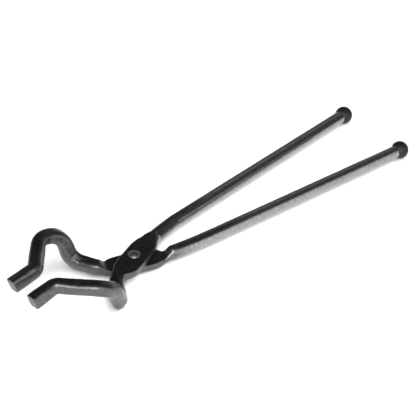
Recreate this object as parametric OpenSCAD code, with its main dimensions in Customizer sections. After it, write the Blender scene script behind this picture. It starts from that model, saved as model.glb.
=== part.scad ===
// Forged gooseneck crucible tongs: two crossing halves on one rivet.
// Origin: centre of the rivet, on the plane where the two bosses meet.
// +X runs towards the reins, the jaws point to -X, +Z is the rivet's axis and
// the side that both jaws rise to. The upper half has its boss on top, its
// rein on the +Y side and its jaw on the -Y side.

/* [Reins] */
// Distance along X from the rivet to the centre of a rein ball
ball_x = 283.2; // [240:0.2:320]
// Sideways distance of a straight rein's centre line, carried back to X = 0
rein_y0 = 12.6; // [12:0.1:13.4]
// Angle between a rein and the X axis
rein_angle = 4.84; // [4.4:0.02:5.4]
// Rein diameter beside the boss
rein_d_root = 12.8; // [12.2:0.1:13.2]
// Rein diameter where it enters the ball
rein_d_end = 11.6; // [10.6:0.1:12.2]
// Diameter of the ball on the end of each rein
ball_d = 16.2; // [14.8:0.1:20]
// How deep the rein's end sits in the ball
ball_socket = 3.4; // [2.6:0.1:5]

/* [Boss and rivet] */
// Thickness of each boss, half of the stack
boss_thick = 6.4; // [5.8:0.1:7]
// Width of the boss across the leaf
boss_width = 20.6; // [19.6:0.1:22]
// Rivet shank diameter
rivet_d = 6.4; // [5.6:0.1:8]
// Running clearance between the shank and the upper half's hole, on the radius
rivet_gap = 0.06; // [0.03:0.01:0.09]
// Rivet head diameter
head_d = 11; // [10:0.1:12.5]
// Height of each domed head
head_height = 2.3; // [1.8:0.1:3]
// Working gap between the two bosses
boss_gap = 0.06; // [0.04:0.01:0.1]

/* [Jaws] */
// Side of the square jaw bar
bar_width = 11.4; // [10.6:0.1:12]
// Corner radius of the jaw bar
bar_corner_r = 3.3; // [2:0.1:4]
// Height of the bar's centre line at the top of the arch
arch_z = 31.8; // [28:0.1:34]
// Sideways reach of the arch's corner from the middle plane
arch_y = 41.5; // [40:0.1:46]
// Distance of the jaw tips in front of the rivet
tip_x = 115.3; // [110:0.1:120]
// Sideways distance of a tip's centre line from the middle plane
tip_y = 13.6; // [13:0.1:16]
// How far the tip drops below the arch
tip_drop = 4.4; // [0:0.1:6]
// Swell of the gripping side of each tip
tip_swell = 0.7; // [0:0.1:2.4]

/* [Hidden] */

steel = [0.16, 0.16, 0.17];
steel_worn = [0.30, 0.30, 0.31];

// which half a shape belongs to, also the Z side of its boss
UPPER = 1;
LOWER = -1;

section_sides = 24;   // points round every swept section
fillet_steps = 7;     // steps round each corner of a path
path_step = 3;        // longest step along a straight run
boss_inset = 0.1;     // how far swept ends stay inside the boss faces

// the straight rod starts just past the boss and ends in the ball's socket
rod_x = 55;
function rein_at(x) = [x, rein_y0 + x * tan(rein_angle), 0];
ball_centre = rein_at(ball_x);
rod_to_centre = (ball_x - rod_x) / cos(rein_angle);
// distances back from the ball's centre to its mouth and to the rod's end
ball_mouth = sqrt(pow(ball_d / 2, 2) - pow(rein_d_end / 2, 2));
rod_end = ball_mouth - ball_socket;

// ---- helpers ----------------------------------------------------------------
function unit(vec) = vec / norm(vec);
function lerp(from, to, share) = from + (to - from) * share;
function clamp(x) = x < 0 ? 0 : x > 1 ? 1 : x;
function ease(x) = let (c = clamp(x)) c * c * (3 - 2 * c);

// unit part of vec that is square to dir
function square(vec, dir) = unit(vec - (vec * dir) * dir);

// slope of a table of [x, y] stations at station i
function slope(table, i) =
    let (prev = max(i - 1, 0), next = min(i + 1, len(table) - 1))
    (table[next][1] - table[prev][1]) / (table[next][0] - table[prev][0]);

// value at x of a smooth (cubic Hermite) curve through [x, y] stations
function curve(table, x, i = 0) =
    x <= table[0][0] ? table[0][1]
    : i >= len(table) - 1 ? table[len(table) - 1][1]
    : x <= table[i + 1][0] ?
        let (span = table[i + 1][0] - table[i][0], t = (x - table[i][0]) / span)
        (2 * t * t * t - 3 * t * t + 1) * table[i][1]
        + (t * t * t - 2 * t * t + t) * span * slope(table, i)
        + (3 * t * t - 2 * t * t * t) * table[i + 1][1]
        + (t * t * t - t * t) * span * slope(table, i + 1)
    : curve(table, x, i + 1);

// points of a fillet at corner, on the way from before to after; the radius
// shrinks where the straight runs are too short for it
function fillet(before, corner, after, radius) =
    let (back = unit(before - corner),
         ahead = unit(after - corner),
         angle = acos(back * ahead),
         trim = min(radius / tan(angle / 2),
                    0.49 * norm(before - corner),
                    0.49 * norm(after - corner)),
         fitted = trim * tan(angle / 2),
         start = corner + back * trim,
         centre = corner + unit(back + ahead) * fitted / sin(angle / 2),
         spoke = (start - centre) / fitted)
    [for (k = [0:fillet_steps])
        let (turn = (180 - angle) * k / fillet_steps)
        centre + fitted * (cos(turn) * spoke - sin(turn) * back)];

// straight run in equal steps, leaving out its first point
function run(from, to) =
    let (n = max(1, ceil(norm(to - from) / path_step)))
    [for (k = [1:n]) lerp(from, to, k / n)];

// filleted path through corners, with radii at the inner ones
function path(corners, radii) =
    let (bends = [for (i = [1:len(corners) - 2])
             fillet(corners[i - 1], corners[i], corners[i + 1], radii[i - 1])],
         last = len(bends) - 1)
    concat([corners[0]],
        [for (i = [0:last]) each concat(
            run(i == 0 ? corners[0] : bends[i - 1][fillet_steps], bends[i][0]),
            [for (k = [1:fillet_steps]) bends[i][k]])],
        run(bends[last][fillet_steps], corners[last + 2]));

function tangents(points) = let (n = len(points) - 1)
    [for (i = [0:n]) unit(points[min(i + 1, n)] - points[max(i - 1, 0)])];

// carry vec along the tangents without twisting it
function carry(dirs, vec) = [for (i = 0, u = square(vec, dirs[0]); i < len(dirs);
    i = i + 1, u = i < len(dirs) ? square(u, dirs[i]) : u) u];

// distance travelled at each of the points
function travel(points) = [for (i = 0, s = 0; i < len(points);
    i = i + 1, s = i < len(points) ? s + norm(points[i] - points[i - 1]) : s) s];

// distance travelled at the point nearest to place
function travel_at(points, dists, place) =
    let (gaps = [for (p = points) norm(p - place)], nearest = min(gaps))
    [for (i = [0:len(points) - 1]) if (gaps[i] == nearest) dists[i]][0];

// rounded rectangle from its half sizes and corner radius
function section(half_x, half_y, radius) =
    let (m = section_sides / 4, r = min(radius, half_x - 0.01, half_y - 0.01))
    [for (q = [0:3]) for (k = [0:m - 1])
        let (angle = 90 * q + 90 * k / (m - 1),
             sign_x = (q == 0 || q == 3) ? 1 : -1,
             sign_y = q < 2 ? 1 : -1)
        [sign_x * (half_x - r) + r * cos(angle),
         sign_y * (half_y - r) + r * sin(angle)]];

// closed skin over a list of rings
module skin(rings) {
    n = len(rings);
    m = len(rings[0]);
    faces = concat(
        [[for (j = [0:m - 1]) j]],
        [[for (j = [m - 1:-1:0]) (n - 1) * m + j]],
        [for (i = [0:n - 2]) for (j = [0:m - 1])
            let (a = i * m + j, b = i * m + (j + 1) % m)
            each [[a, a + m, b + m], [a, b + m, b]]]);
    polyhedron(points = [for (r = rings) each r], faces = faces);
}

// ---- jaw --------------------------------------------------------------------
// A jaw is drawn on the -Y side. The two differ a little, as hand-forged bars do.
// Corners of the centre line: start, neck, elbow, knee, crown, bend, tip
NECK = 1;
ELBOW = 2;
KNEE = 3;
CROWN = 4;
BEND = 5;
bend = [-92.2, -tip_y, arch_z + 0.2];
tip = [-tip_x, -tip_y, arch_z - tip_drop];
neck_z = 0.4;         // on the side of the half's boss
function jaw_corners(half) = concat(
    [[-15, -7.6, neck_z * half], [-29, -10.7, neck_z * half]],
    half == UPPER
        ? [[-40.9, -30.3, -1.1], [-52.7, -39, arch_z - 10.6],
           [-65.6, -arch_y, arch_z], bend, tip]
        : [[-41.1, -33, 2.5], [-46.6, -41, arch_z - 4.1],
           [-66.9, -arch_y - 0.8, arch_z + 2.3], bend, tip + [0.2, -0.4, -0.4]]);
// fillet radii at neck, elbow, knee, crown and bend
function jaw_radii(half) = half == UPPER
    ? [17.4, 8.8, 25.6, 16.5, 8.4]
    : [17.4, 14.7, 25.6, 18, 8.4];
// roll of the bar's section at neck, elbow, knee, crown, mid-arch and bend
function jaw_rolls(half) = half == UPPER
    ? [0, -38, -27, -35, -23, -42]
    : [0, -38, -44, -54, -24, -20];

// the flat arm in the boss narrows outwards, then swells to the full bar
arm_r = 16;           // distance from the rivet where it starts to narrow
arm_half = 7.6;       // half width there
arm_corner_r = 1.2;
shoulder_r = 27;      // distance from the rivet where the swelling starts
shoulder_half = 6;    // half width there
shoulder_length = 3.2;
bar_x = -31;          // full bar everywhere beyond this
bar_extra = 0.1;      // added to the bar's half height
swell_length = 36;    // length of the swell, back from the tip
upset_height = 2.6;   // bulge on the outer side of the elbow
upset_reach = 9;

function rivet_dist(p) = norm([p[0], p[1]]);
// share of the full bar section: none in the boss, all of it past the shoulder
function bar_share(p) =
    p[0] < bar_x ? 1 : ease((rivet_dist(p) - shoulder_r) / shoulder_length);
// direction of the outer side of the elbow
function elbow_out(corners) = let (elbow = corners[ELBOW])
    unit(-(unit(corners[NECK] - elbow) + unit(corners[KNEE] - elbow)));

// [distance, roll] stations of a jaw
function roll_stations(half, corners, points, dists) =
    let (rolls = jaw_rolls(half),
         at = [for (i = [NECK:BEND]) travel_at(points, dists, corners[i])],
         crown_at = at[CROWN - NECK],
         bend_at = at[BEND - NECK])
    concat([for (i = [0:3]) [at[i], rolls[i]]],
        [[(crown_at + bend_at) / 2, rolls[4]], [bend_at, rolls[5]]]);

function jaw_ring(half, corners, point, dir, up, to_tip, roll) =
    let (share = bar_share(point),
         side = cross(up, dir),
         axis_y = cos(roll) * up + sin(roll) * side,
         axis_x = -sin(roll) * up + cos(roll) * side,
         lift = lerp(half * (boss_thick / 2) - corners[NECK][2], 0, share),
         narrowing = clamp((rivet_dist(point) - arm_r) / (shoulder_r - arm_r)),
         half_x = lerp(lerp(arm_half, shoulder_half, narrowing), bar_width / 2, share),
         half_y = lerp(boss_thick / 2 - boss_inset, bar_width / 2 + bar_extra, share),
         grip = square([0, 1, 0], dir),
         swell = to_tip < swell_length ? tip_swell * sin(180 * to_tip / swell_length) : 0,
         out = square(elbow_out(corners), dir),
         upset = upset_height * exp(-pow(norm(point - corners[ELBOW]) / upset_reach, 2)))
    [for (v = section(half_x, half_y, lerp(arm_corner_r, bar_corner_r, share)))
        let (w = v[0] * axis_x + v[1] * axis_y)
        point + [0, 0, lift] + w
        + swell * clamp((w * grip) / half_y) * grip
        + upset * clamp((w * out) / half_y) * out];

module jaw(half) {
    corners = jaw_corners(half);
    points = path(corners, jaw_radii(half));
    dirs = tangents(points);
    ups = carry(dirs, [0, 0, 1]);
    dists = travel(points);
    last = len(points) - 1;
    stations = roll_stations(half, corners, points, dists);
    skin([for (i = [0:last])
        jaw_ring(half, corners, points[i], dirs[i], ups[i],
            dists[last] - dists[i], curve(stations, dists[i]))]);
}

// ---- boss outline -----------------------------------------------------------
// The leaf lies along a line turned by leaf_angle.
leaf_angle = 24;
leaf_dir = [cos(leaf_angle), sin(leaf_angle)];
leaf_across = [-sin(leaf_angle), cos(leaf_angle)];
leaf_start = -31;
leaf_end = 28;
leaf_steps = 28;
lower_leaf_shift = 1.6;   // +Y shift of the lower leaf, as drawn before it is turned over
// [distance along the leaf, its middle's distance across]
leaf_middle = [[-33, -2.1], [-25, -1.3], [-16, -0.9], [0, -1.4],
    [12, -1.7], [21, -2], [29, -2.4]];
// [distance along the leaf, share of boss_width]
leaf_width = [[-33, 0.44], [-27, 0.68], [-20, 0.92], [-12, 1],
    [2, 1.02], [12, 0.98], [21, 0.8], [29, 0.56]];

// point on one edge of the leaf, edge = -1 or 1
function leaf_point(step, edge, shift) =
    let (along = lerp(leaf_start, leaf_end, step / leaf_steps))
    along * leaf_dir + [0, shift]
    + (curve(leaf_middle, along) + edge * boss_width / 2 * curve(leaf_width, along))
        * leaf_across;
function leaf_outline(shift) = concat(
    [for (k = [0:leaf_steps]) leaf_point(k, -1, shift)],
    [for (k = [leaf_steps:-1:0]) leaf_point(k, 1, shift)]);

// ---- rein root --------------------------------------------------------------
// X of the rings, from inside the boss to the round rod
root_x = [18, 21, 24, 26, 28, 29.5, 31, 32.5, 34, 36, 38.5, 41.5, 45, 49, 53, 56, 58];
// [x, Y offset from the straight line of the rein]
function root_offset(half) = half == UPPER
    ? [[18, -7.2], [24, -5.4], [28, -4], [31, -3.1], [36, -2.2],
       [40, -1.7], [46.5, -1], [52, -0.5], [58, 0]]
    : [[18, -5.6], [22, -3.8], [27, -2.1], [33, -1.05],
       [40, -0.45], [46, -0.15], [52, 0], [58, 0]];
// [x, half width] for a rein of diameter root_table_d
root_table_d = 12.8;
function root_half_width(half) = half == UPPER
    ? [[18, 4.6], [24, 5.2], [28, 5.6], [31, 6.1], [35, 6.4], [58, 6.4]]
    : [[18, 4.6], [24, 4.8], [28, 4.9], [33, 5.2],
       [38, 5.7], [44, 6.2], [50, 6.4], [58, 6.4]];

function root_ring(half, x) =
    let (sink = ease((x - (half == UPPER ? 25 : 22)) / 8),  // shoulder at the boss's inner face
         rise = ease((x - 20) / 18),                        // top face to the rod
         rounding = ease((x - 19) / 11),
         // the last rings lie inside the rod, the others just cover it
         grow = x > rod_x + 0.5 ? -0.3 : 0.03,
         along = max(0, (x - rod_x) / (ball_x - rod_x)),
         radius = lerp(rein_d_root / 2, rein_d_end / 2, along) + grow,
         low = lerp(boss_inset, -radius, sink),
         top = lerp(boss_thick - boss_inset, radius, rise),
         half_x = min(radius, curve(root_half_width(half), x) * rein_d_root / root_table_d),
         centre = rein_at(x) + [0, curve(root_offset(half), x), (top + low) / 2],
         across = [-sin(rein_angle), cos(rein_angle), 0])
    [for (v = section(half_x, (top - low) / 2, lerp(1.4, radius, rounding)))
        centre + v[0] * across + [0, 0, v[1]]];

// boss and rein, drawn with the boss on top and the rein on the +Y side
module boss_and_rein(half, shift) {
    translate([0, 0, boss_gap / 2])
        linear_extrude(height = boss_thick - boss_gap / 2)
            polygon(leaf_outline(shift));
    skin([for (x = root_x) root_ring(half, x)]);
    translate(rein_at(rod_x)) rotate([0, 90, rein_angle])
        cylinder(h = rod_to_centre - rod_end, d1 = rein_d_root, d2 = rein_d_end, $fn = 64);
}

// ---- pieces -----------------------------------------------------------------
module upper_half() {
    color(steel) difference() {
        union() {
            boss_and_rein(UPPER, 0);
            jaw(UPPER);
        }
        translate([0, 0, -1])
            cylinder(h = boss_thick + 2, r = rivet_d / 2 + rivet_gap, $fn = 64);
    }
}

module lower_half() {
    color(steel) difference() {
        union() {
            rotate([180, 0, 0]) boss_and_rein(LOWER, lower_leaf_shift);
            mirror([0, 1, 0]) jaw(LOWER);
        }
        translate([0, 0, -boss_thick - 1])
            cylinder(h = boss_thick + 2, d = rivet_d, $fn = 64);
    }
}

// shallow domed head, flat side on z = 0
module dome() {
    radius = (pow(head_d / 2, 2) + pow(head_height, 2)) / (2 * head_height);
    intersection() {
        translate([0, 0, head_height - radius]) sphere(r = radius, $fn = 96);
        cylinder(h = head_height + 1, d = head_d, $fn = 96);
    }
}

module rivet() {
    color(steel_worn) union() {
        translate([0, 0, -boss_thick])
            cylinder(h = 2 * boss_thick + boss_gap, d = rivet_d, $fn = 64);
        translate([0, 0, boss_thick + boss_gap]) dome();
        translate([0, 0, -boss_thick]) rotate([180, 0, 0]) dome();
    }
}

// ball with a socket that seats the end of the rod, turned about the rein
module rein_ball() {
    radius = ball_d / 2;
    socket_r = rein_d_end / 2 + 0.04;
    mouth_angle = asin(socket_r / radius);
    steps = 40;
    translate(ball_centre) rotate([0, 90, rein_angle]) rotate_extrude($fn = 96)
        polygon(concat(
            [[0, -rod_end], [socket_r, -rod_end]],
            [for (k = [0:steps])
                let (angle = mouth_angle + (180 - mouth_angle) * k / steps)
                [k == steps ? 0 : radius * sin(angle), -radius * cos(angle)]]));
}

module upper_rein_ball() { color(steel) rein_ball(); }
module lower_rein_ball() { color(steel) rotate([180, 0, 0]) rein_ball(); }

upper_half();
lower_half();
rivet();
upper_rein_ball();
lower_rein_ball();
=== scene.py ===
"""Riveted forging tongs: two black forged halves cross at a rivet.

The rivet stands on Z at the origin. The jaws reach towards -X and arch upwards, the reins run
towards +X and end in balls. The upper half has its boss on top, its jaw on -Y and its rein on +Y.
The lower half has its boss underneath, its jaw on +Y and its rein on -Y.
Shapes are worked out in millimetres; Blender's units are metres.
"""
import math

import bmesh
import bpy
import numpy as np
from mathutils import Matrix, Vector, noise


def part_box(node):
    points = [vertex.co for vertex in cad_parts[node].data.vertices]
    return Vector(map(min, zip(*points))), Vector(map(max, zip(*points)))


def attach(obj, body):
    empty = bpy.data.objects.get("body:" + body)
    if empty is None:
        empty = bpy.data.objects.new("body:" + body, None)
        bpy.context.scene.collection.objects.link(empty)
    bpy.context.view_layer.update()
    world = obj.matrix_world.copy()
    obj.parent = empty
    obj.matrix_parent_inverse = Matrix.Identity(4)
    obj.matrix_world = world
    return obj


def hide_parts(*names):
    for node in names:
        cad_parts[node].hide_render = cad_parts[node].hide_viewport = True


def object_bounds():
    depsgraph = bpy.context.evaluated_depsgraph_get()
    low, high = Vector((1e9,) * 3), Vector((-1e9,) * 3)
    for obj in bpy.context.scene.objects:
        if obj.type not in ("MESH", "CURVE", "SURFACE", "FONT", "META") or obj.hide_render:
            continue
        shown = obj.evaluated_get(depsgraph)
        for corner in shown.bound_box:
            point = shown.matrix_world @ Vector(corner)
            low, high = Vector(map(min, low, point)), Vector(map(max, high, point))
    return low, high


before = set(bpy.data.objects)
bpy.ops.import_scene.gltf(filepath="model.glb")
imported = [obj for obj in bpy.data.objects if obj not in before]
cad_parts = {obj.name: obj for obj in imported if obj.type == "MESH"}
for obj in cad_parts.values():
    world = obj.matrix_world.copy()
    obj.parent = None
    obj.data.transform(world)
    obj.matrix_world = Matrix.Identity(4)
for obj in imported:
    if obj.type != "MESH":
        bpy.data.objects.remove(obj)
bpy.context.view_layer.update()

MM = 0.001
UPPER, LOWER = 1, -1            # which half; also the sign of the side its boss lies on
UP = np.array([0, 0, 1.0])


def box_mm(node):
    return [np.array(corner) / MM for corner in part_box(node)]


# ---------------------------------------------------------------------------
# Sizes in mm
# ---------------------------------------------------------------------------

HALF_BOX = {UPPER: box_mm("upper_half"), LOWER: box_mm("lower_half")}
rivet_low, rivet_high = box_mm("rivet")
ball_low, ball_high = box_mm("upper_rein_ball")
RIVET_HEAD_R = (rivet_high[0] - rivet_low[0]) / 2
BALL_R = (ball_high[2] - ball_low[2]) / 2
BALL_CENTRE = np.array([ball_high[0] - BALL_R, *(ball_high[1:] + ball_low[1:]) / 2])

# Boss: flat and leaf-shaped in plan, its long axis turned from X about the rivet
BOSS_THICK = 6.4
BOSS_WIDTH = 20.6
BOSS_GAP = 0.06                 # between the two meeting faces
BOSS_ANGLE = math.radians(24)
BOSS_AXIS = np.array([math.cos(BOSS_ANGLE), math.sin(BOSS_ANGLE), 0])
BOSS_NORMAL = np.array([-math.sin(BOSS_ANGLE), math.cos(BOSS_ANGLE), 0])
BOSS_SHIFT_Y = {UPPER: 0.0, LOWER: 1.6}
BOSS_START, BOSS_STOP = -23.0, 15.1     # along the boss axis
BOSS_EXTRA = 0.6                # added to the half width
BOSS_EDGE_R = 1.0
# place along the boss axis, offset of the middle line
BOSS_MIDDLE = [[-33, -2.1], [-25, -1.3], [-16, -0.9], [0, -1.4], [12, -1.7], [21, -2], [29, -2.4]]
# place along the boss axis, share of the full width
BOSS_SHARE = [[-33, 0.44], [-27, 0.68], [-20, 0.92], [-12, 1], [2, 1.02], [12, 0.98],
              [21, 0.8], [29, 0.56]]

# Rein: a round bar tapering to its ball
REIN_Y0 = 12.6                  # its line's Y at x = 0
REIN_ANGLE = math.radians(4.84)
REIN_D_ROOT, REIN_D_END = 12.8, 11.6
TAPER_X = 55                    # the taper starts here and ends at the ball's centre
BALL_FACE = math.sqrt(BALL_R**2 - (REIN_D_END / 2) ** 2)    # ball centre to where the bar enters
ROOT_START_X = {UPPER: 34.0, LOWER: 27.0}
ROOT_END_X = 60                 # rings lie closer together before this
RING_STEP, REIN_STEP = 0.8, 3.0
BRIDGE_STEPS = 30               # between the boss and the root
# x, sideways offset from the rein's line
ROOT_OFFSET = {
    UPPER: [[18, -7.2], [24, -5.4], [28, -4.0], [31, -3.1], [36, -2.2], [40, -1.7],
            [46.5, -1.0], [52, -0.5], [58, 0]],
    LOWER: [[18, -5.6], [22, -4.3], [27, -3.0], [33, -1.9], [40, -1.2], [46, -0.8],
            [52, -0.5], [58, -0.3], [75, 0]],
}
# x, half width
ROOT_HALF = {
    UPPER: [[18, 4.8], [24, 5.5], [28, 5.9], [31, 6.3], [35, 6.4], [58, 6.4]],
    LOWER: [[18, 4.6], [24, 5.2], [28, 5.8], [33, 6.2], [38, 6.4], [58, 6.4]],
}
# The section goes from flat to round over these stretches: start x, length
UNDERSIDE_ROUNDS = {UPPER: (25.4, 8), LOWER: (22.2, 8)}
TOP_ROUNDS = {UPPER: (18, 17), LOWER: (18, 15)}
CORNER_ROUNDS = (18, 10)

# Jaw: a bent square bar, drawn with the jaw on -Y for both halves
BAR = 11.4
NECK_Z = 0.4
NECK_HALF = 5.8                 # half width where the jaw leaves the boss
ARCH_Z, ARCH_Y = 31.8, 41.5
TIP_X, TIP_Y = 115.3, 13.6
TIP_DROP = 4.4
# boss end, neck, elbow, knee, top of the arch, start of the grip, tip
JAW_CORNERS = {
    UPPER: np.array([
        [-15, -7.6, NECK_Z], [-29.0, -10.7, NECK_Z], [-40.9, -30.3, -1.1],
        [-52.7, -39.0, ARCH_Z - 10.6], [-65.6, -ARCH_Y, ARCH_Z],
        [-92.2, -TIP_Y, ARCH_Z + 0.2], [-TIP_X, -TIP_Y, ARCH_Z - TIP_DROP]]),
    LOWER: np.array([
        [-15, -7.6, -NECK_Z], [-29.0, -10.7, -NECK_Z], [-41.1, -33.0, 2.5],
        [-46.6, -41.0, ARCH_Z - 4.1], [-66.9, -ARCH_Y - 0.8, ARCH_Z + 2.3],
        [-92.2, -TIP_Y, ARCH_Z + 0.2],
        [-TIP_X + 0.2, -TIP_Y - 0.4, ARCH_Z - TIP_DROP - 0.4]]),
}
# bend radius at each inner corner
BEND_R = {UPPER: [17.4, 8.8, 25.6, 16.5, 8.4], LOWER: [17.4, 14.7, 25.6, 18.0, 8.4]}
# roll of the bar in degrees at neck, elbow, knee, arch, halfway to the grip, grip
ROLL = {UPPER: [0, -38, -27, -35, -23, -42], LOWER: [0, -38, -44, -54, -24, -20]}
# fold lines across the bar: distance past the elbow, face of the bar, depth, half width, lean
FOLDS = {
    UPPER: [(3.6, -1, 0.30, 0.50, 0.6), (21.0, -1, 0.0, 0.9, 0.0)],
    LOWER: [(4.5, 1, 0.30, 0.50, 0.8), (-2.2, 1, 0.22, 0.6, 0.8), (43.0, 1, 0.30, 0.6, 0.0)],
}
PATH_STEP = 0.55
ARC_STEPS = 14                  # per bend
TIP_SWELL, SWELL_LENGTH = 0.7, 36
GRIP_FLAT = 0.50                # taken off the face towards the other jaw
ELBOW_UPSET, UPSET_REACH = 2.6, 9
HEEL, HEEL_REACH = 1.15, 8      # bump beside the upper half's elbow
HEEL_SHIFT = np.array([-1.5, -1.5, 1.5])
HEEL_DIRECTION = np.array([-1.0, 0, -0.5])
LEG_GAIN, LEG_SHIFT, LEG_REACH = 0.06, 4, 13    # thicker leg between elbow and knee

# Points round a quarter section: half a flat, the corner, half the next flat
SIDE_POINTS, CORNER_POINTS, TOP_POINTS = 6, 8, 6
# rings that close an end: share of the end ring's size, share of the bulge
CAP_RINGS = [(0.93, 0.35), (0.8, 0.75), (0.6, 1.0), (0.35, 1.0), (0.12, 1.0)]
TIP_BULGE = 0.5
TURNED_SEGMENTS = 96            # round the rivet and the balls


# ---------------------------------------------------------------------------
# Curves
# ---------------------------------------------------------------------------

def unit(v):
    return v / np.linalg.norm(v)


def ease(x):
    x = np.clip(x, 0.0, 1.0)
    return x * x * (3 - 2 * x)


def mix(first, second, share):
    return (1 - share) * first + share * second


def hermite(t):
    """Weights of start value, start slope, end value and end slope."""
    return 2 * t**3 - 3 * t**2 + 1, t**3 - 2 * t**2 + t, 3 * t**2 - 2 * t**3, t**3 - t**2


def curve(stations, x):
    """Smooth curve through [x, y] stations, flat outside them."""
    s = np.asarray(stations, float)
    if x <= s[0, 0]:
        return s[0, 1]
    if x >= s[-1, 0]:
        return s[-1, 1]
    i = int(np.searchsorted(s[:, 0], x)) - 1

    def slope(k):
        before, after = max(k - 1, 0), min(k + 1, len(s) - 1)
        return (s[after, 1] - s[before, 1]) / (s[after, 0] - s[before, 0])

    span = s[i + 1, 0] - s[i, 0]
    start, start_slope, end, end_slope = hermite((x - s[i, 0]) / span)
    return (start * s[i, 1] + start_slope * span * slope(i)
            + end * s[i + 1, 1] + end_slope * span * slope(i + 1))


def filleted(corners, radii):
    """Points along a polyline with its inner corners rounded."""
    points = [corners[0]]

    def straight_to(end):
        start = points[-1]
        count = max(1, math.ceil(np.linalg.norm(end - start) / PATH_STEP))
        points.extend([start + (end - start) * k / count for k in range(1, count + 1)])

    for before, corner, after, radius in zip(corners, corners[1:], corners[2:], radii):
        to_before, to_after = unit(before - corner), unit(after - corner)
        angle = math.acos(float(np.clip(to_before @ to_after, -1, 1)))
        setback = min(radius / math.tan(angle / 2),
                      0.49 * np.linalg.norm(before - corner),
                      0.49 * np.linalg.norm(after - corner))
        radius = setback * math.tan(angle / 2)
        arc_start = corner + to_before * setback
        centre = corner + unit(to_before + to_after) * radius / math.sin(angle / 2)
        spoke = (arc_start - centre) / radius
        straight_to(arc_start)
        for k in range(1, ARC_STEPS + 1):
            turn = (math.pi - angle) * k / ARC_STEPS
            points.append(centre + radius * (math.cos(turn) * spoke - math.sin(turn) * to_before))
    straight_to(corners[-1])
    return np.array(points)


def smoothed(values, rounds):
    """Evens out values along the first axis, the two ends held."""
    values = np.array(values, float)
    for _ in range(rounds):
        values[1:-1] = (values[:-2] + 2 * values[1:-1] + values[2:]) / 4
    return values


def tangents_of(path):
    tangents = np.gradient(path, axis=0)
    return tangents / np.linalg.norm(tangents, axis=1)[:, None]


def square_to(direction, tangent):
    """The direction with its part along the tangent taken out, as a unit vector."""
    return unit(direction - (direction @ tangent) * tangent)


def section(half_width, half_height, radius):
    """Rounded rectangle, counter-clockwise from the middle of its +x side."""
    radius = min(radius, half_width - 1e-3, half_height - 1e-3)
    flat_x, flat_y = half_width - radius, half_height - radius
    quarter = [(half_width, flat_y * k / SIDE_POINTS) for k in range(SIDE_POINTS)]
    for k in range(CORNER_POINTS):
        angle = math.pi / 2 * k / (CORNER_POINTS - 1)
        quarter.append((flat_x + radius * math.cos(angle), flat_y + radius * math.sin(angle)))
    for k in range(1, TOP_POINTS + 1):
        quarter.append((flat_x * (1 - k / TOP_POINTS), half_height))
    quarter = np.array(quarter)
    # neighbouring quarters share their end points
    mirrors = (((1, 1), 1), ((-1, 1), -1), ((-1, -1), 1), ((1, -1), -1))
    return np.concatenate([(quarter * signs)[::order][:-1] for signs, order in mirrors])


# ---------------------------------------------------------------------------
# Meshes
# ---------------------------------------------------------------------------

def solid(name, verts, faces):
    """Smooth-shaded object from a closed surface, its normals turned outwards."""
    mesh = bpy.data.meshes.new(name)
    mesh.from_pydata(verts, [], faces)
    mesh.validate()
    bm = bmesh.new()
    bm.from_mesh(mesh)
    bmesh.ops.recalc_face_normals(bm, faces=bm.faces)
    bm.to_mesh(mesh)
    bm.free()
    for polygon in mesh.polygons:
        polygon.use_smooth = True
    ob = bpy.data.objects.new(name, mesh)
    bpy.context.scene.collection.objects.link(ob)
    return ob


def cap(end, neighbour, bulge):
    """Shrinking rings that close an end ring, pushed out by the bulge."""
    centre = end.mean(0)
    outward = unit(centre - neighbour.mean(0))
    return [centre + (end - centre) * size + outward * bulge * out for size, out in CAP_RINGS]


def skin(name, rings, start_bulge):
    """Closed quad mesh over rings of equal length; only its start bulges."""
    rings = np.array(cap(rings[0], rings[1], start_bulge)[::-1] + list(rings)
                     + cap(rings[-1], rings[-2], 0.0))
    count, size, _ = rings.shape
    verts = [tuple(p) for p in (rings.reshape(-1, 3) * MM)]
    faces = []
    for i in range(count - 1):
        for j in range(size):
            k = (j + 1) % size
            faces.append((i * size + j, i * size + k, (i + 1) * size + k, (i + 1) * size + j))
    start_centre = len(verts)
    last = (count - 1) * size
    verts += [tuple(rings[0].mean(0) * MM), tuple(rings[-1].mean(0) * MM)]
    for j in range(size):
        k = (j + 1) % size
        faces.append((start_centre, k, j))
        faces.append((start_centre + 1, last + j, last + k))
    return solid(name, verts, faces)


def revolve(name, profile):
    """Closed surface of revolution about Z from (r, z) points, only the two ends on the axis."""
    verts, faces, rows = [], [], []
    for r, z in profile:
        first = len(verts)
        if r < 1e-6:
            verts.append((0, 0, z * MM))
        else:
            for j in range(TURNED_SEGMENTS):
                turn = 2 * math.pi * j / TURNED_SEGMENTS
                verts.append((r * math.cos(turn) * MM, r * math.sin(turn) * MM, z * MM))
        rows.append(range(first, len(verts)))
    for row, following in zip(rows[:-1], rows[1:]):
        for j in range(TURNED_SEGMENTS):
            k = (j + 1) % TURNED_SEGMENTS
            if len(row) == 1:
                faces.append((row[0], following[j], following[k]))
            elif len(following) == 1:
                faces.append((row[k], row[j], following[0]))
            else:
                faces.append((row[j], following[j], following[k], row[k]))
    return solid(name, verts, faces)


def vertex_vectors(mesh, field):
    values = np.zeros(len(mesh.vertices) * 3)
    mesh.vertices.foreach_get(field, values)
    return values.reshape(-1, 3)


def place_vertices(mesh, points):
    mesh.vertices.foreach_set("co", (points * MM).ravel())
    mesh.update()


def fit_box(mesh, low, high):
    """Fits the mesh to a box along each axis where that scales it by less than 3 %."""
    points = vertex_vectors(mesh, "co") / MM
    start, end = points.min(0), points.max(0)
    for axis in range(3):
        scale = (high[axis] - low[axis]) / (end[axis] - start[axis])
        if abs(scale - 1) < 0.03:
            points[:, axis] = low[axis] + (points[:, axis] - start[axis]) * scale
    place_vertices(mesh, points)


def register(ob, body, node):
    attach(ob, body)
    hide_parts(node)
    return ob


# ---------------------------------------------------------------------------
# The two forgings
# ---------------------------------------------------------------------------

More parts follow.
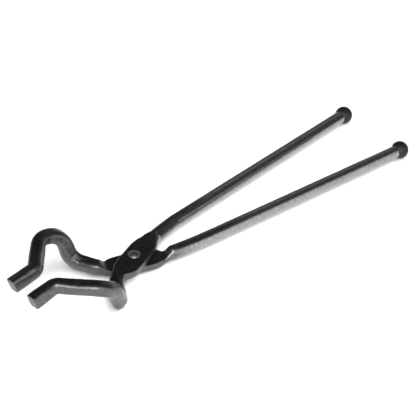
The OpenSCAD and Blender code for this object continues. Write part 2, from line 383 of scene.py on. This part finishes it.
def jaw_rings(half):
    """Rings from the jaw's tip to the edge of the boss, and how much painted shade each point
    gets along the creases.
    """
    corners = JAW_CORNERS[half]
    path = filleted(corners, BEND_R[half])
    along = np.concatenate([[0], np.cumsum(np.linalg.norm(np.diff(path, axis=0), axis=1))])
    tangents = tangents_of(path)
    # carry an up vector along the path without twist
    ups = []
    up = UP
    for tangent in tangents:
        up = square_to(up, tangent)
        ups.append(up)
    _, neck_at, elbow_at, knee_at, arch_at, grip_at, _ = [
        along[int(np.argmin(np.linalg.norm(path - corner, axis=1)))] for corner in corners]
    rolls = np.column_stack([
        [neck_at, elbow_at, knee_at, arch_at, (arch_at + grip_at) / 2, grip_at], ROLL[half]])
    neck, elbow, knee = corners[1:4]
    bend_outward = -(unit(neck - elbow) + unit(knee - elbow))
    leg_at = (elbow_at + knee_at) / 2 + LEG_SHIFT

    rings, fold_shades = [], []
    for i in range(len(path) - 1, -1, -1):
        point, tangent, place = path[i], tangents[i], along[i]
        from_rivet = np.linalg.norm(point[:2])
        if from_rivet <= 26.0 and point[0] > -31:
            break
        # 0 at the boss, 1 in the free bar
        free = 1.0 if point[0] < -33 else ease((from_rivet - 25.5) / 6.0)
        to_tip = along[-1] - place
        roll = math.radians(curve(rolls, place))
        side = np.cross(ups[i], tangent)
        height_axis = math.cos(roll) * ups[i] + math.sin(roll) * side
        width_axis = -math.sin(roll) * ups[i] + math.cos(roll) * side
        half_width = mix(NECK_HALF, BAR / 2 + 0.40, free)
        half_height = mix((BOSS_THICK - BOSS_GAP) / 2, BAR / 2 + 0.45, free)
        corner_r = 3.0 + 1.3 * ease(to_tip / 22)
        outline = section(half_width, half_height, mix(BOSS_EDGE_R, corner_r, free))
        outline = outline * (1 + LEG_GAIN * math.exp(-(((place - leg_at) / LEG_REACH) ** 2)))
        offsets = outline[:, :1] * width_axis + outline[:, 1:] * height_axis

        def pushed(amount, direction, reach=half_height):
            """Shifts of the points that face a direction, full from the reach outwards."""
            return amount * np.clip(offsets @ direction / reach, 0, 1)[:, None] * direction

        ring = point + (1 - free) * half * (BOSS_THICK / 2 - NECK_Z) * UP + offsets
        inward = square_to(np.array([0, 1.0, 0]), tangent)      # towards the other jaw
        if to_tip < SWELL_LENGTH:
            ring = ring + pushed(TIP_SWELL * math.sin(math.pi * to_tip / SWELL_LENGTH), inward)
        upset = ELBOW_UPSET * math.exp(-((np.linalg.norm(point - elbow) / UPSET_REACH) ** 2))
        ring = ring + pushed(upset, square_to(bend_outward, tangent))
        flat = GRIP_FLAT * free * (1 - ease((to_tip - 30) / 15))
        ring = ring - pushed(flat, inward, 0.6 * half_height)
        if half == UPPER:
            from_heel = np.linalg.norm(point - elbow - HEEL_SHIFT)
            heel = HEEL * math.exp(-((from_heel / HEEL_REACH) ** 2))
            ring = ring + pushed(heel, square_to(HEEL_DIRECTION, tangent))

        # each fold line is cut into the bar and also sets where shade is painted into the colour
        fold_shade = np.zeros(len(outline))
        for past_elbow, face, depth, fold_half, lean in FOLDS[half]:
            leaned = lean * outline[:, 0] / half_width
            x = (place - elbow_at - past_elbow - leaned) / fold_half
            fold_and_shade = np.exp(-x * x) * ease((face * outline[:, 1] / half_height - 0.55) / 0.4)
            ring = ring - face * depth * fold_and_shade[:, None] * height_axis
            fold_shade = np.maximum(fold_shade, fold_and_shade)
        rings.append(ring)
        fold_shades.append(fold_shade)
    return np.array(rings), np.array(fold_shades)


def rein_radius(x):
    tapered = max(0.0, (x - TAPER_X) / (BALL_CENTRE[0] - TAPER_X))
    return REIN_D_ROOT / 2 + (REIN_D_END - REIN_D_ROOT) / 2 * tapered


def middle_line(half):
    """Centres and half widths from the boss's jaw end to the rein's end inside the ball."""
    def root_point(x):
        line_y = REIN_Y0 + x * math.tan(REIN_ANGLE)
        return np.array([x, line_y + curve(ROOT_OFFSET[half], x), 0.0])

    centres, halves = [], []
    for place in np.arange(BOSS_START, BOSS_STOP, RING_STEP):
        centres.append(place * BOSS_AXIS + curve(BOSS_MIDDLE, place) * BOSS_NORMAL
                       + np.array([0, BOSS_SHIFT_Y[half], 0]))
        halves.append(BOSS_WIDTH / 2 * curve(BOSS_SHARE, place) + BOSS_EXTRA)

    # smooth bridge from the boss to the root of the rein
    root_x = ROOT_START_X[half]
    start, end = centres[-1], root_point(root_x)
    start_direction = unit(centres[-1] - centres[-2])
    end_direction = unit(root_point(root_x + 0.6) - end)
    span = float(np.linalg.norm(end - start))
    start_half, end_half = halves[-1], curve(ROOT_HALF[half], root_x)
    half_slope = (halves[-1] - halves[-2]) / RING_STEP * span
    for share in np.linspace(0, 1, BRIDGE_STEPS + 1)[1:-1]:
        at_start, leaving, at_end, arriving = hermite(share)
        centres.append(at_start * start + leaving * span * start_direction
                       + at_end * end + arriving * span * end_direction)
        halves.append(at_start * start_half + leaving * half_slope + at_end * end_half)

    rein_stop = BALL_CENTRE[0] - BALL_FACE * math.cos(REIN_ANGLE) + 2.9
    for x in [*np.arange(root_x, ROOT_END_X, RING_STEP),
              *np.arange(ROOT_END_X, rein_stop, REIN_STEP)]:
        centres.append(root_point(x))
        halves.append(min(curve(ROOT_HALF[half], x), rein_radius(x)))
    centres, halves = np.array(centres), np.array(halves)
    close = int((centres[:, 0] < ROOT_END_X).sum())
    centres[:close] = smoothed(centres[:close], 4)
    halves[:close] = smoothed(halves[:close], 3)
    return centres, halves


def boss_and_rein_rings(half):
    """Rings of boss and rein, drawn with the boss above z = 0."""
    def rounding(x, stretch):
        start, length = stretch
        return ease((x - start) / length)

    centres, halves = middle_line(half)
    rings = []
    for centre, tangent, half_width in zip(centres, tangents_of(centres), halves):
        x = centre[0]
        radius = rein_radius(x)
        low = mix(BOSS_GAP / 2, -radius, rounding(x, UNDERSIDE_ROUNDS[half]))
        top = mix(BOSS_THICK, radius, rounding(x, TOP_ROUNDS[half]))
        corner_r = BOSS_EDGE_R + (radius - BOSS_EDGE_R) * rounding(x, CORNER_ROUNDS)
        outline = section(half_width, (top - low) / 2, corner_r)
        across = unit(np.cross(UP, tangent))
        rings.append(centre + (top + low) / 2 * UP + outline[:, :1] * across
                     + outline[:, 1:] * UP)
    return np.array(rings)


def lined_up(rings, target):
    """The rings with their points reordered so that the first ring best matches the target."""
    candidates = [np.roll(ordered, shift, 1)
                  for ordered in (rings, rings[:, ::-1]) for shift in range(rings.shape[1])]
    return min(candidates, key=lambda candidate: float(((candidate[0] - target) ** 2).sum()))


def half_rings(half):
    jaw, jaw_fold_shades = jaw_rings(half)
    boss = boss_and_rein_rings(half)
    if half == LOWER:
        boss[:, :, 1:] *= -1        # turned over about X
        jaw[:, :, 1] *= -1          # mirrored in the XZ plane
    rings = np.concatenate([jaw, lined_up(boss, jaw[-1])])
    fold_shades = np.concatenate([jaw_fold_shades, np.zeros(boss.shape[:2])])
    # ease the join of neck and boss
    join = slice(len(jaw) - 7, len(jaw) + 7)
    rings[join] = smoothed(rings[join], 8)
    return rings, fold_shades


def hammer(points, normals, half):
    """Broad undulation and finer scale, kept off the meeting faces and faint on the reins."""
    for i, point in enumerate(points):
        if abs(point[2]) < 0.6 and math.hypot(point[0], point[1]) < 34:
            continue
        strength = 1.0 - 0.85 * ease((point[0] - 20) / 25)
        where = Vector((point[0] / 11.0, point[1] / 11.0, point[2] / 11.0 + 3.7 * half))
        height = 0.16 * noise.noise(where) + 0.05 * noise.noise(where * 3.1)
        points[i] += normals[i] * height * strength


def build_half(name, half, body, node):
    rings, fold_shades = half_rings(half)
    ob = skin(name, rings, TIP_BULGE)
    mesh = ob.data
    # per point, how much shade is painted into the colour along the creases
    vertex_fold_shades = np.zeros(len(mesh.vertices))
    first = len(CAP_RINGS) * fold_shades.shape[1]
    vertex_fold_shades[first:first + fold_shades.size] = fold_shades.ravel()
    mesh.attributes.new("fold_and_shade", "FLOAT", "POINT").data.foreach_set("value", vertex_fold_shades)

    points = vertex_vectors(mesh, "co") / MM
    hammer(points, vertex_vectors(mesh, "normal"), half)
    # near the rivet each half stays on its own side of the parting plane
    near = 1.0 - ease((np.hypot(points[:, 0], points[:, 1]) - 25.5) / 3.0)
    points[:, 2] += half * near * np.maximum(0.05 - points[:, 2] * half, 0.0)
    place_vertices(mesh, points)
    fit_box(mesh, *HALF_BOX[half])

    subdivision = ob.modifiers.new("smooth", "SUBSURF")
    subdivision.levels = 1
    subdivision.render_levels = 1
    return register(ob, body, node)


# ---------------------------------------------------------------------------
# Rivet and balls
# ---------------------------------------------------------------------------

SHANK_R = 3.2
SHANK_CHAMFER = 0.1
DOME_STEPS = 24
BALL_STEPS = 44


def build_rivet():
    """Shank with a domed head above and below."""
    top, bottom = rivet_high[2], rivet_low[2]
    head_height = (top - bottom - 2 * BOSS_THICK - BOSS_GAP) / 2
    top_face, bottom_face = top - head_height, bottom + head_height
    sphere_r = (RIVET_HEAD_R**2 + head_height**2) / (2 * head_height)
    dome = []                   # radius and height, from the rim to the crown
    for i in range(DOME_STEPS):
        r = RIVET_HEAD_R * math.cos(i / DOME_STEPS * math.pi / 2)
        height = math.sqrt(max(sphere_r**2 - r * r, 0)) - (sphere_r - head_height)
        if r > RIVET_HEAD_R - 0.35:
            height = max(height, 0) * 0.9
        dome.append((r, height))
    dome.append((0.0, head_height))
    profile = [(r, top_face + height) for r, height in dome[::-1]]
    profile += [
        (RIVET_HEAD_R - 0.12, top_face),
        (SHANK_R + SHANK_CHAMFER, top_face),
        (SHANK_R, top_face - SHANK_CHAMFER),
        (SHANK_R, bottom_face + SHANK_CHAMFER),
        (SHANK_R + SHANK_CHAMFER, bottom_face),
    ]
    profile += [(r, bottom_face - height) for r, height in dome]
    ob = revolve("rivet_pin", profile)

    # uneven, hammered heads
    for vertex in ob.data.vertices:
        point = vertex.co / MM
        if abs(point.z) > BOSS_THICK + 0.4:
            where = point / 3.2
            vertex.co.z -= math.copysign(abs(0.10 * noise.noise(where)) * MM, point.z)
            vertex.co.x += 0.06 * noise.noise(where + Vector((9, 0, 0))) * MM
            vertex.co.y += 0.06 * noise.noise(where + Vector((0, 9, 0))) * MM
    return register(ob, "lower_body", "rivet")


def build_ball(name, side, body, node):
    """Ball on the rein's end with a short collar round the bar; side is the sign of its Y."""
    collar_r = REIN_D_END / 2 + 0.04
    collar_end = 3.4 - BALL_FACE
    start = math.asin(collar_r / BALL_R) + 0.02
    profile = [(0.0, collar_end), (collar_r * 0.5, collar_end), (collar_r, collar_end),
               (collar_r, -BALL_FACE + 0.15)]
    for i in range(BALL_STEPS):
        angle = start + (math.pi - start) * i / BALL_STEPS
        profile.append((BALL_R * math.sin(angle), -BALL_R * math.cos(angle)))
    profile.append((0.0, BALL_R))
    ob = revolve(name, profile)

    # local +Z goes along the rein, away from the rivet
    outward = Vector((math.cos(REIN_ANGLE), side * math.sin(REIN_ANGLE), 0))
    rotation = Vector((0, 0, 1)).rotation_difference(outward)
    centre = Vector((BALL_CENTRE[0] * MM, side * BALL_CENTRE[1] * MM, BALL_CENTRE[2] * MM))
    for vertex in ob.data.vertices:
        point = vertex.co.copy()
        if point.z > -BALL_FACE * MM * 0.96:
            where = point / MM / 4.0 + Vector((side * 5, 0, 0))
            point = point * (1 + 0.006 * noise.noise(where) - 0.004)
        vertex.co = rotation @ point + centre
    ob.data.update()
    return register(ob, body, node)


upper = build_half("upper_forging", UPPER, "upper_body", "upper_half")
lower = build_half("lower_forging", LOWER, "lower_body", "lower_half")
rivet = build_rivet()
upper_ball = build_ball("ball_upper_rein", 1, "upper_body", "upper_rein_ball")
lower_ball = build_ball("ball_lower_rein", -1, "lower_body", "lower_rein_ball")


# ---------------------------------------------------------------------------
# Materials
# ---------------------------------------------------------------------------

class Graph:
    """Adds shader nodes to a node tree."""

    def __init__(self, tree):
        self.tree = tree

    def add(self, kind, inputs, **settings):
        """New node; each input is a value or the output socket that feeds it."""
        node = self.tree.nodes.new("ShaderNode" + kind)
        for key, value in settings.items():
            setattr(node, key, value)
        for key, value in inputs.items():
            if isinstance(value, bpy.types.NodeSocket):
                self.tree.links.new(value, node.inputs[key])
            else:
                node.inputs[key].default_value = value
        return node

    def math(self, operation, first, second, clamp=False):
        return self.add("Math", {0: first, 1: second}, operation=operation,
                        use_clamp=clamp).outputs[0]

    def smoothstep(self, source, start, end, low, high):
        """Eases from low to high while the source goes from start to end."""
        return self.add("MapRange", {"Value": source, "From Min": start, "From Max": end,
                                     "To Min": low, "To Max": high},
                        interpolation_type="SMOOTHSTEP").outputs["Result"]

    def ramp(self, source, *stops):
        """Colour ramp with two (position, RGB) stops."""
        node = self.add("ValToRGB", {0: source})
        for element, (position, colour) in zip(node.color_ramp.elements, stops):
            element.position = position
            element.color = (*colour, 1)
        return node.outputs[0]

    def noise(self, vector, scale, detail, roughness=0.5):
        return self.add("TexNoise", {"Vector": vector, "Scale": scale, "Detail": detail,
                                     "Roughness": roughness}).outputs[0]

    def bump(self, height, strength, distance, **normal):
        return self.add("Bump", {"Height": height, "Strength": strength,
                                 "Distance": distance, **normal}).outputs[0]


def new_material(name):
    """Material holding only an output and the principled shader that feeds it."""
    material = bpy.data.materials.new(name)
    material.use_nodes = True
    material.node_tree.nodes.clear()
    graph = Graph(material.node_tree)
    output = graph.add("OutputMaterial", {})
    shader = graph.add("BsdfPrincipled", {})
    material.node_tree.links.new(shader.outputs[0], output.inputs[0])
    return material, graph, shader


BLACK, WHITE = (0, 0, 0), (1, 1, 1)
HANDLED_X = (0.018, 0.055)      # metres; the finish changes from scaled to handled between these


def black_steel(name, seed, dark=(0.235, 0.235, 0.24), worn_and_highlight_colour=(0.52, 0.52, 0.52), wear_and_highlight=1.0,
                rough=0.33, scale_tone=0.38, rein_polish=0.33, rein_bump=0.05):
    """Oxidised steel, paler along its edges, partly from wearing and partly as a painted
    highlight on the ridges.

    scale_tone darkens the colour on the jaw side; rein_polish multiplies the roughness and
    rein_bump is the fine bump's strength, both on the rein side.
    """
    material, graph, shader = new_material(name)
    link = material.node_tree.links.new
    coords = graph.add("TexCoord", {}).outputs["Object"]
    seeded = graph.add("Mapping", {"Vector": coords,
                                   "Location": (seed, seed * 0.7, -seed)}).outputs[0]
    x = graph.add("SeparateXYZ", {0: coords}).outputs[0]

    def along_x(jaw_value, rein_value):
        return graph.smoothstep(x, *HANDLED_X, jaw_value, rein_value)

    broad = graph.noise(seeded, scale=45, detail=3, roughness=0.5)
    fine = graph.noise(seeded, scale=420, detail=6, roughness=0.62)
    grain = graph.noise(seeded, scale=1800, detail=4, roughness=0.7)
    # stretched nearly along X
    stretched = graph.add("Mapping", {"Vector": coords, "Scale": (60, 900, 900),
                                      "Rotation": (0, 0, 0.08)}).outputs[0]
    scratches = graph.noise(stretched, scale=1.0, detail=5)

    # edges: where a softened normal leaves the true one; paled there partly from wearing, partly
    # as a painted ridge highlight
    bevel = graph.add("Bevel", {"Radius": 0.0011}, samples=6).outputs[0]
    true_normal = graph.add("NewGeometry", {}).outputs["Normal"]
    agreement = graph.add("VectorMath", {0: bevel, 1: true_normal},
                          operation="DOT_PRODUCT").outputs["Value"]
    worn_edge_and_highlight = graph.math("SUBTRACT", 1.0, agreement)
    worn_edge_and_highlight = graph.math("MULTIPLY", worn_edge_and_highlight, 5.0, clamp=True)
    broken = graph.ramp(fine, (0.42, (0.15, 0.15, 0.15)), (0.62, WHITE))
    worn_edge_and_highlight = graph.math("MULTIPLY", worn_edge_and_highlight, broken, clamp=True)
    worn_edge_and_highlight = graph.math("MULTIPLY", worn_edge_and_highlight, 0.55 * wear_and_highlight, clamp=True)
    patches = graph.ramp(broad, (0.52, BLACK), (0.75, WHITE))
    rubbed = graph.math("MULTIPLY", patches, 0.10 * wear_and_highlight)
    lines = graph.ramp(scratches, (0.62, BLACK), (0.72, WHITE))
    scratched = graph.math("MULTIPLY", lines, 0.08 * wear_and_highlight)
    bare_and_highlight = graph.math("ADD", worn_edge_and_highlight, rubbed)
    bare_and_highlight = graph.math("ADD", bare_and_highlight, scratched, clamp=True)

    # colour: dark oxide, browner in patches, paler where bare and along the edges (there partly
    # painted highlight), with painted shade along the creases, darker on the jaws
    oxide = graph.ramp(fine, (0.30, [c * 0.75 for c in dark]), (0.70, [c * 1.35 for c in dark]))
    brown = (dark[0] * 0.72, dark[1] * 0.70, dark[2] * 0.68, 1)
    patch_share = graph.math("MULTIPLY", patches, 0.35)
    tinted = graph.add("Mix", {"Factor": patch_share, "A": oxide, "B": brown},
                       data_type="RGBA").outputs["Result"]
    # paling towards the bare colour: real wearing in patches and scratches, a painted highlight
    # along the edges
    colour = graph.add("Mix", {"Factor": bare_and_highlight, "A": tinted, "B": (*worn_and_highlight_colour, 1)},
                       data_type="RGBA").outputs["Result"]
    # painted shade: the colour is darkened along the creases, by up to 85 %
    fold_and_shade = graph.add("Attribute", {}, attribute_name="fold_and_shade").outputs["Fac"]
    unshaded_by_folds = graph.math("SUBTRACT", 1.0, graph.math("MULTIPLY", fold_and_shade, 0.85), clamp=True)
    tone = graph.math("MULTIPLY", along_x(scale_tone, 1.0), unshaded_by_folds)
    toned = graph.add("VectorMath", {0: colour, "Scale": tone}, operation="SCALE")
    link(toned.outputs["Vector"], shader.inputs["Base Color"])
    shader.inputs["Metallic"].default_value = 0.97

    # roughness: varies with the fine noise, smoother where bare and on the reins
    roughness = graph.ramp(fine, (0.3, (rough - 0.06,) * 3), (0.7, (rough + 0.08,) * 3))
    roughness = graph.math("SUBTRACT", roughness, graph.math("MULTIPLY", bare_and_highlight, 0.08))
    roughness = graph.math("ADD", roughness, graph.math("MULTIPLY", broad, 0.05), clamp=True)
    roughness = graph.math("MULTIPLY", roughness, along_x(1.0, rein_polish))
    link(roughness, shader.inputs["Roughness"])

    # three layers of relief
    normal = graph.bump(fine, strength=along_x(0.22, rein_bump), distance=0.0004)
    normal = graph.bump(grain, strength=0.10, distance=0.00012, Normal=normal)
    normal = graph.bump(broad, strength=0.12, distance=0.0008, Normal=normal)
    link(normal, shader.inputs["Normal"])
    return material


def use_material(ob, material):
    ob.data.materials.clear()
    ob.data.materials.append(material)


upper_steel = black_steel("black_forged_steel", seed=0.0)
lower_steel = black_steel("black_forged_steel_lower", seed=3.1)
ball_steel = black_steel("black_ball_steel", seed=5.3, dark=(0.040, 0.040, 0.042),
                         worn_and_highlight_colour=(0.16, 0.16, 0.16), wear_and_highlight=0.5, rough=0.60,
                         rein_polish=1.0, rein_bump=0.30)
rivet_steel = black_steel("rivet_steel", seed=7.7, dark=(0.27, 0.27, 0.275), wear_and_highlight=1.2,
                          rough=0.32, scale_tone=0.9)
for ob, material in ((upper, upper_steel), (lower, lower_steel), (upper_ball, ball_steel),
                     (lower_ball, ball_steel), (rivet, rivet_steel)):
    use_material(ob, material)
for node_name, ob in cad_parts.items():
    use_material(ob, rivet_steel if node_name == "rivet" else upper_steel)


# ---------------------------------------------------------------------------
# Floor, world, lights and camera, in metres
# ---------------------------------------------------------------------------

scene = bpy.context.scene
scene.view_settings.view_transform = "Standard"
scene.view_settings.look = "None"


def build_floor():
    """Pale floor just below the lowest point."""
    floor_z = float(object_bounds()[0][2]) - 0.0004
    bpy.ops.mesh.primitive_grid_add(x_subdivisions=2, y_subdivisions=2, size=8.0,
                                    location=(0, 0, floor_z))
    floor = bpy.context.object
    floor.name = "floor"
    material, _, shader = new_material("floor_pale")
    for key, value in (("Base Color", (0.86, 0.86, 0.86, 1)), ("Roughness", 0.9),
                       ("Emission Color", (1, 1, 1, 1)), ("Emission Strength", 0.06)):
        shader.inputs[key].default_value = value
    floor.data.materials.append(material)


def build_world():
    """White surroundings whose brightness depends on direction."""
    world = bpy.data.worlds.new("studio")
    scene.world = world
    world.use_nodes = True
    graph = Graph(world.node_tree)
    view = graph.add("TexCoord", {}).outputs["Generated"]

    def glow(direction, start, end, low, high):
        """Brightness by how closely the view follows a direction."""
        closeness = graph.add("VectorMath", {0: view, 1: direction}, operation="DOT_PRODUCT")
        return graph.smoothstep(closeness.outputs["Value"], start, end, low, high)

    from_minus_y = glow((-0.10, -0.98, 0.15), start=0.54, end=0.95, low=0.0, high=1.85)
    # beyond the tongs as the camera sees them, only near the horizon and below
    beyond = graph.math("MULTIPLY",
                        glow((0.75, 0.66, 0.0), start=0.1, end=0.8, low=0.0, high=0.60),
                        glow((0.0, 0.0, 1.0), start=0.06, end=0.28, low=1.0, high=0.0))
    from_minus_x = glow((-0.95, 0.05, 0.30), start=0.2, end=1.0, low=0.0, high=0.25)
    everywhere = 0.018
    brightness = graph.math("ADD", graph.math("ADD", from_minus_y, beyond),
                            graph.math("ADD", from_minus_x, everywhere))
    background = world.node_tree.nodes["Background"]
    background.inputs[0].default_value = (1, 1, 1, 1)
    world.node_tree.links.new(brightness, background.inputs[1])


def area_light(name, width, length, power):
    data = bpy.data.lights.new(name, "AREA")
    data.shape = "RECTANGLE"
    data.size, data.size_y = width, length
    data.energy = power
    ob = bpy.data.objects.new(name, data)
    scene.collection.objects.link(ob)
    return ob


def aim(light, target, direction, distance):
    """Stands a light off from the target along a direction, facing the target."""
    direction = Vector(direction).normalized()
    light.location = Vector(target) + direction * distance
    light.rotation_euler = (-direction).to_track_quat("-Z", "Y").to_euler()


def build_rein_card():
    """Level card above the reins, its edge towards the rivet straight across them."""
    turn = math.radians(-15.5)
    width, length = 0.50, 1.00
    edge_x, edge_y, height = 0.297, 0.111, 0.300        # middle of that edge
    card = area_light("rein_card", width, length, power=math.pi * width * length)
    card.data.use_nodes = True
    tree = card.data.node_tree
    emission = [n for n in tree.nodes if n.bl_idname == "ShaderNodeEmission"][0]
    graph = Graph(tree)
    position = graph.add("NewGeometry", {}).outputs["Position"]
    y = graph.add("SeparateXYZ", {0: position}).outputs[1]
    strength = graph.smoothstep(y, start=-0.01, end=0.16, low=0.06, high=0.30)
    tree.links.new(strength, emission.inputs["Strength"])
    card.location = (edge_x + math.cos(turn) * width / 2,
                     edge_y + math.sin(turn) * width / 2, height)
    card.rotation_euler = (0.0, 0.0, turn)
    card.visible_diffuse = False


def build_lights():
    # lights the floor, and is not mirrored in the steel
    fill = area_light("overhead_fill", width=1.2, length=1.2, power=24.0)
    aim(fill, target=(0.05, 0.0, 0.0), direction=(0.05, -0.35, 0.93), distance=1.3)
    fill.visible_glossy = False
    # bright lines along the jaws' ridges
    panel = area_light("camera_side_panel", width=0.92, length=0.92, power=22.0)
    aim(panel, target=(-0.05, 0.0, 0.01), direction=(-0.50, -0.575, 0.65), distance=1.5)
    build_rein_card()


def build_camera():
    """Looks down on the tongs from the -X, -Y side."""
    azimuth, elevation = math.radians(-41.0), math.radians(38.0)
    # camera's place from the origin in mm, along its own axes
    back_mm, right_mm, up_mm = 1521.1056, 62.369328, 44.121392
    back = np.array([math.sin(azimuth) * math.cos(elevation),
                     -math.cos(azimuth) * math.cos(elevation), math.sin(elevation)])
    right = np.array([math.cos(azimuth), math.sin(azimuth), 0.0])
    up = np.cross(back, right)
    place = (back_mm * back + right_mm * right + up_mm * up) * MM
    data = bpy.data.cameras.new("camera")
    data.sensor_width = 36.0
    data.lens = 155.604808
    data.clip_start, data.clip_end = 0.05, 30
    camera = bpy.data.objects.new("camera", data)
    scene.collection.objects.link(camera)
    rotation = Matrix(np.stack([right, up, back], 1).tolist()).to_4x4()
    camera.matrix_world = Matrix.Translation(Vector(place)) @ rotation
    scene.camera = camera


build_floor()
build_world()
build_lights()
build_camera()
